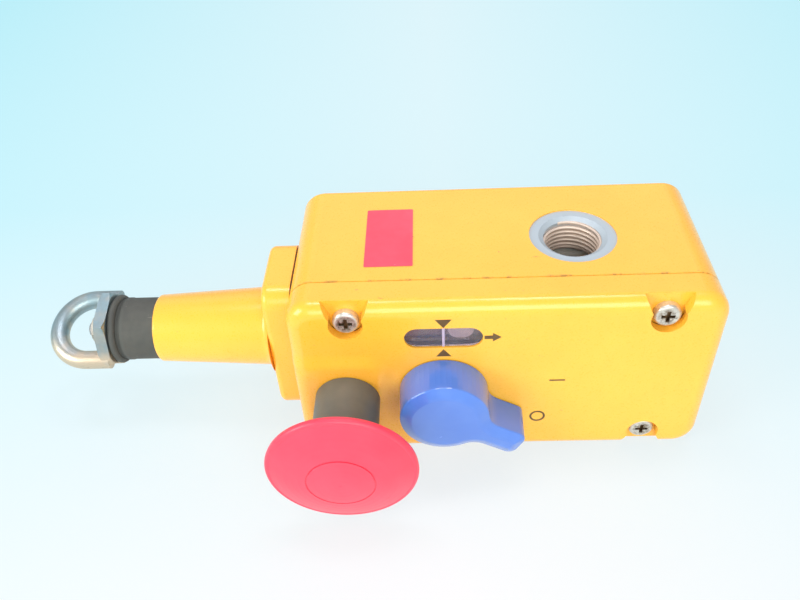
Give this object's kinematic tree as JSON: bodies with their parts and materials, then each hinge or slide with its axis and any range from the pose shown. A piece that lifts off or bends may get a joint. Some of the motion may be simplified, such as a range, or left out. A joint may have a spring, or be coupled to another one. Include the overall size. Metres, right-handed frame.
{
  "type": "rope pull switch",
  "caption": "Rope pull safety switch: a sealed box with a spring-loaded rod and rope eye in a tapered nose, a turn knob for reset, a mushroom push button and a tension window.",
  "frame": {"origin": "centre of the mounting hole pattern on the flat back face", "axes": "+X along the pull rod from the rope eye towards the housing, +Y out of the mounting face, +Z towards the conduit entry"},
  "size_m": [0.247, 0.1074, 0.0732],
  "materials": {
    "yellow_paint": "glossy safety yellow paint on a die casting",
    "black_rubber": "black sealing rubber",
    "boot_rubber": "dull black moulded rubber",
    "screw_steel": "zinc plated steel",
    "clear_lens": "clear moulded plastic window",
    "natural_plastic": "natural acetal",
    "rod_steel": "ground stainless steel",
    "eye_steel": "tumbled stainless steel",
    "spring_steel": "spring steel",
    "brass": "turned brass",
    "white_plastic": "white acetal",
    "black_plastic": "black moulded plastic",
    "marker_white": "white plastic",
    "block_plastic": "light moulded plastic",
    "plunger_red": "red plastic",
    "plunger_green": "green plastic",
    "blue_plastic": "glossy blue moulded plastic",
    "red_plastic": "red moulded plastic",
    "plate_steel": "plated sheet steel"
  },
  "bodies": {
    "housing": {"housing_base": "yellow_paint", "front_cover": "yellow_paint", "cover_gasket": "black_rubber", "cover_screws": "screw_steel", "window_lens": "clear_lens", "window_seal": "black_rubber", "nose_casting": "yellow_paint", "nose_gasket": "black_rubber", "nose_screws": "screw_steel", "rod_bush": "natural_plastic", "rear_bush": "natural_plastic", "rod_boot": "boot_rubber", "tension_spring": "spring_steel", "contact_blocks": "block_plastic", "block_screws": "screw_steel", "terminal_screws": "brass", "earth_screw": "brass", "knob_bush": "brass", "latch_guide": "natural_plastic", "guide_screws": "screw_steel", "stop_collar": "black_plastic", "stop_nut": "plate_steel", "stop_spring": "spring_steel", "trip_pin": "rod_steel"},
    "rod": {"pull_rod": "rod_steel", "eye_nut": "eye_steel", "eye_lock_nut": "screw_steel", "spring_seat": "brass", "seat_ring": "spring_steel", "cam_slider": "white_plastic", "cam_pin": "rod_steel", "tension_indicator": "black_plastic", "indicator_marker": "marker_white"},
    "knob": {"reset_knob": "blue_plastic", "knob_spindle": "rod_steel", "knob_seal": "black_rubber", "spindle_clip": "spring_steel", "reset_crank": "plate_steel"},
    "latch": {"latch_bar": "plate_steel"},
    "stop": {"stop_button": "red_plastic", "stop_stem": "rod_steel", "stop_clip": "spring_steel"},
    "trip": {"trip_lever": "plate_steel"},
    "pull_contact": {"pull_plunger": "plunger_red"},
    "slack_contact": {"slack_plunger": "plunger_green"}
  },
  "joints": [
    {"name": "rod_pull", "type": "slide", "parent": "housing", "child": "rod", "axis": [-1, 0, 0], "range_m": [0, 0.012], "stiffness_N_per_m": 4000, "springref_m": -0.01, "deforming": ["tension_spring", "rod_boot"]},
    {"name": "pull_contact_slide", "type": "slide", "parent": "housing", "child": "pull_contact", "axis": [0, 1, 0], "range_m": [-0.0002, 0.0026]},
    {"name": "slack_contact_slide", "type": "slide", "parent": "housing", "child": "slack_contact", "axis": [0, 1, 0], "range_m": [-0.0026, 0.0002]},
    {"name": "knob_turn", "type": "hinge", "parent": "housing", "child": "knob", "pos_m": [-0.0207, -0.0688, -0.0033], "axis": [0, -1, 0], "range_deg": [0, 31]},
    {"name": "latch_slide", "type": "slide", "parent": "housing", "child": "latch", "axis": [-1, 0, 0], "range_m": [-0.0002, 0.0045]},
    {"name": "stop_press", "type": "slide", "parent": "housing", "child": "stop", "axis": [0, 1, 0], "range_m": [0, 0.004], "stiffness_N_per_m": 1500, "springref_m": -0.006, "deforming": ["stop_spring"]},
    {"name": "trip_swing", "type": "hinge", "parent": "housing", "child": "trip", "pos_m": [-0.04, -0.0613, 0], "axis": [0, 0, -1], "range_deg": [-0.5, 17.5]}
  ],
  "couplings": [
    {"joint": "pull_contact_slide", "follows": "rod_pull", "ratio": 0.2},
    {"joint": "slack_contact_slide", "follows": "rod_pull", "ratio": -0.2},
    {"joint": "latch_slide", "follows": "knob_turn", "m_per_rad": 0.0079028},
    {"joint": "trip_swing", "follows": "stop_press", "rad_per_m": 72.5}
  ]
}
